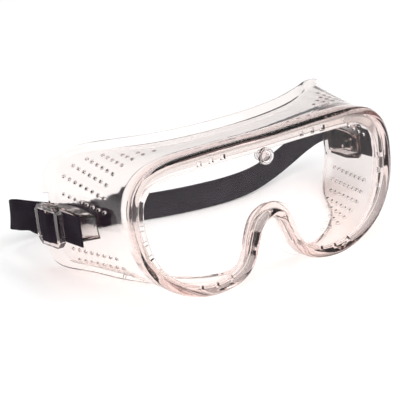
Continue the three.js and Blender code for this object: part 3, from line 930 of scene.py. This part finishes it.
# From the tail's end back through a buckle: [behind the pivot, out from the lug's face].
weave = [
    (-buckle_half_length - tail_length, under_bar),
    (-buckle_half_length - tail_length / 2, under_bar),
    (-buckle_half_length, under_bar),
    (-buckle_half_length + end_bar_length, under_bar),
    (-slot_middle, over_bar_out * slot_share),
    (-middle_bar_length / 2, over_bar_out * bar_edge_share),
    (0, over_bar_out),
    (middle_bar_length / 2, over_bar_out * bar_edge_share),
    (slot_middle, over_bar_out * slot_share),
    (buckle_half_length - end_bar_length, under_bar),
    (buckle_half_length, under_bar),
    (buckle_half_length + lead_in_length, under_bar + lead_in_out),
]
# From the right buckle round to the left one, all level with the table: x as a share of the strap's
# reach at the lugs, the distance behind the pivot, and the share of the way up from lying on the
# table to the pivot.
belt_route = [
    (-1.041, 19.4, 0.876), (-1.065, 27.4, 0.773), (-1.054, 35.5, 0.644), (-0.989, 41.1, 0.479),
    (-0.848, 42.6, 0.252), (-0.674, 40.1, 0.067), (-0.478, 35.6, 0), (-0.239, 29.1, 0),
    (0.033, 23.6, 0), (0.304, 21.3, 0), (0.489, 22.2, 0.031), (0.652, 24.1, 0.16),
    (0.804, 26.2, 0.355), (0.935, 27.6, 0.561), (1.027, 26.8, 0.716), (1.082, 22.9, 0.819),
    (1.065, 17.4, 0.886),
]
table_gap = 0.15
table_level = -placed((0, 0, 0)).z * 1000
lying_height = table_level + strap_width / 2 + table_gap
level_pivot = tip @ Vector((0, pivot_depth, lug_centre_height))


def on_the_table(share, behind, climb):
    """A point of the belt's route in the goggles' own upright frame."""
    height = lying_height + (level_pivot.z - lying_height) * climb
    return tip.inverted() @ Vector((share * (lug_face_out + under_bar), level_pivot.y + behind, height))


def beside_lug(side, behind, out):
    """A point level with the pivot, behind it and out from the lug's face."""
    return Vector((side * (lug_face_out + out), pivot_depth + behind, lug_centre_height))


route = [beside_lug(-1, *spot) for spot in weave]
route += [on_the_table(*spot) for spot in belt_route]
route += [beside_lug(1, *spot) for spot in reversed(weave)]


def along_route(points, index):
    """A point and its direction on the smooth curve through points, eased by their spacing."""
    i = min(int(index), len(points) - 2)
    t = index - i
    p1, p2 = points[i], points[i + 1]
    p0 = points[i - 1] if i > 0 else 2 * p1 - p2
    p3 = points[i + 2] if i + 2 < len(points) else 2 * p2 - p1
    d0, d1, d2 = (math.sqrt((b - a).length) for a, b in ((p0, p1), (p1, p2), (p2, p3)))
    t1 = ((p1 - p0) / d0 - (p2 - p0) / (d0 + d1) + (p2 - p1) / d1) * d1
    t2 = ((p2 - p1) / d1 - (p3 - p1) / (d1 + d2) + (p3 - p2) / d2) * d1
    c2 = 3 * (p2 - p1) - 2 * t1 - t2
    c3 = 2 * (p1 - p2) + t1 + t2
    return p1 + t * t1 + t * t * c2 + t ** 3 * c3, (t1 + 2 * t * c2 + 3 * t * t * c3).normalized()


def strap_section():
    """The ribbed section as (share across the width, thickness) points."""
    steps = rib_count * 4
    half = strap_thickness / 2
    top = []
    for i in range(steps + 1):
        share = i / steps
        edge = min(1, min(share, 1 - share) * edge_sharpness)
        rib = rib_height * (0.5 - 0.5 * math.cos(2 * math.pi * rib_count * share))
        level = half - rib_height + rib
        top.append((share - 0.5, level * math.sqrt(edge) if edge < 1 else level))
    return top + [(share, -height) for share, height in reversed(top[1:-1])]


section = strap_section()
body_up = Vector((0, 0, 1))
table_up = tip.inverted() @ Vector((0, 0, 1))
rings, lengths = [], []
steps = (len(route) - 1) * steps_per_point
for step in range(steps + 1):
    index = step / steps_per_point
    middle, run = along_route(route, min(index, len(route) - 1))
    share = min(index - len(weave) + 1, len(route) - len(weave) - index) / 4
    share = min(1, max(0, share))
    up = body_up.lerp(table_up, share * share * (3 - 2 * share))
    up = (up - run * up.dot(run)).normalized()
    across = run.cross(up)
    lengths.append(lengths[-1] + (middle - last).length if rings else 0)
    last = middle
    rings.append([middle + up * strap_width * a + across * b for a, b in section])
strap = skinned("woven_elastic_strap", rings, False)

# How far along the band and across it each corner is, for the weave.
weave_map = strap.data.uv_layers.new(name="weave")
corner_points = [0] * len(strap.data.loops)
strap.data.loops.foreach_get("vertex_index", corner_points)
for corner, point in enumerate(corner_points):
    ring, place_in_ring = divmod(point, len(section))
    weave_map.data[corner].uv = (section[place_in_ring][0], lengths[ring] * 0.001)

elastic = bpy.data.materials.new("black_woven_elastic")
elastic.use_nodes = True
cloth = elastic.node_tree
thread = cloth.nodes["Principled BSDF"]
lie = shade_node(cloth, "ShaderNodeUVMap")
lie.uv_map = "weave"
split = shade_node(cloth, "ShaderNodeSeparateXYZ", Vector=lie.outputs[0])
pick_spacing = 0.0007
across_waves = math_node(cloth, "MULTIPLY", split.outputs["X"], 2 * math.pi * rib_count * 2)
along_waves = math_node(cloth, "MULTIPLY", split.outputs["Y"], 2 * math.pi / pick_spacing)
picks = math_node(cloth, "MULTIPLY", math_node(cloth, "SINE", across_waves),
                  math_node(cloth, "SINE", along_waves))
where = shade_node(cloth, "ShaderNodeTexCoord")
fuzz = shade_node(cloth, "ShaderNodeTexNoise", Vector=where.outputs["Object"], Scale=2500.0, Detail=2.0)
relief = math_node(cloth, "ADD", picks, fuzz.outputs[0])
weave_bump = shade_node(cloth, "ShaderNodeBump", Strength=0.35, Distance=0.00015, Height=relief)
cloth.links.new(weave_bump.outputs[0], thread.inputs["Normal"])
fade = shade_node(cloth, "ShaderNodeTexNoise", Vector=where.outputs["Object"], Scale=90.0, Detail=4.0)
blend = shade_node(cloth, "ShaderNodeMapRange", Value=fade.outputs[0], From_Min=0.35, From_Max=0.65)
shades = shade_node(cloth, "ShaderNodeMix", Factor=blend.outputs[0])
shades.data_type = "RGBA"
shades.inputs["A"].default_value = (0.012, 0.007, 0.013, 1)
shades.inputs["B"].default_value = (0.022, 0.015, 0.024, 1)
cloth.links.new(shades.outputs["Result"], thread.inputs["Base Color"])
thread.inputs["Roughness"].default_value = 0.85
thread.inputs["Specular IOR Level"].default_value = 0.12
painted(strap, elastic)
smoothed(strap, 60)
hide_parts("strap")
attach(strap, "headband")
